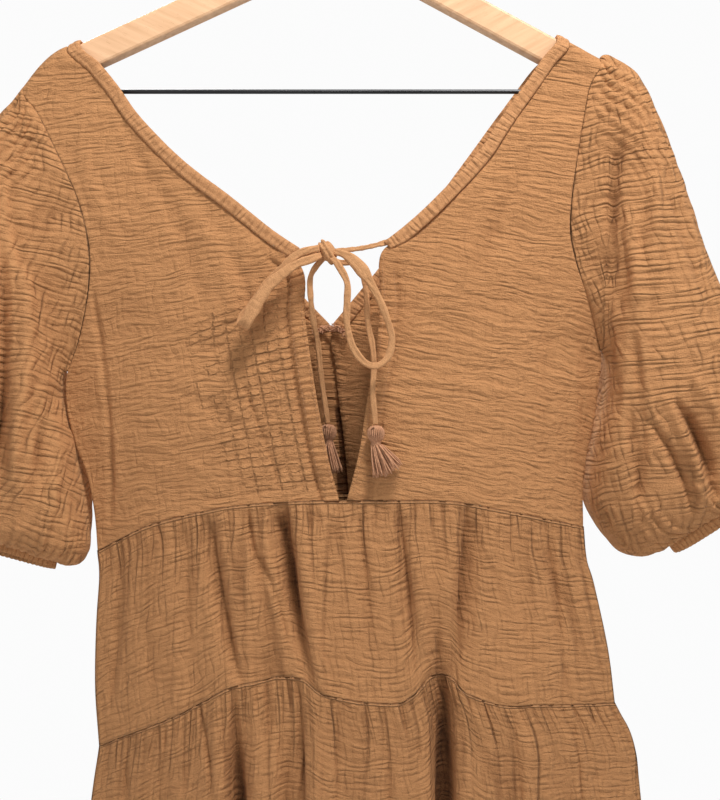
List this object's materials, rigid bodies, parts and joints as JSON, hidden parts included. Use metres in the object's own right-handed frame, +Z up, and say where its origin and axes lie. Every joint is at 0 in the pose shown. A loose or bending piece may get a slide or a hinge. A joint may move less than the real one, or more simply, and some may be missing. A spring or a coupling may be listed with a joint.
{
  "type": "tiered mini dress on a hanger",
  "caption": "Short tiered dress in crinkled gauze with a tied keyhole neck, puffed elbow sleeves and elastic cuffs, hanging on a wooden hanger",
  "frame": {"origin": "the inner top of the hanger's hook, where a rail or peg holds it", "axes": "+Z up, the tie side faces -Y, +X to the viewer's right"},
  "size_m": [0.6742, 0.0931, 0.9519],
  "materials": {
    "gauze": "crinkled double gauze cotton, camel tan",
    "tassel_yarn": "dusty rose brown cotton yarn",
    "beech": "pale satin lacquered wood",
    "black_bar": "black satin",
    "hook_wire": "polished"
  },
  "bodies": {
    "root": {"bodice_front_left": "gauze", "bodice_front_right": "gauze", "bodice_back_left": "gauze", "bodice_back_right": "gauze", "sleeve_left": "gauze", "sleeve_right": "gauze", "cuff_left": "gauze", "cuff_right": "gauze", "tier1_front": "gauze", "tier1_back": "gauze", "tier2_front": "gauze", "tier2_back": "gauze", "neck_binding_front_left": "gauze", "neck_binding_front_right": "gauze", "neck_binding_back_left": "gauze", "neck_binding_back_right": "gauze", "back_tack": "gauze", "tie_strap_left": "gauze", "tie_strap_right": "gauze", "bow_knot": "gauze", "bow_loop_left": "gauze", "bow_loop_right": "gauze", "tie_tail_left": "gauze", "tie_tail_right": "gauze", "tassel_left": "tassel_yarn", "tassel_right": "tassel_yarn", "hanger_arm_left": "beech", "hanger_arm_right": "beech", "hanger_bar": "black_bar", "hanger_hook": "hook_wire"}
  },
  "joints": []
}
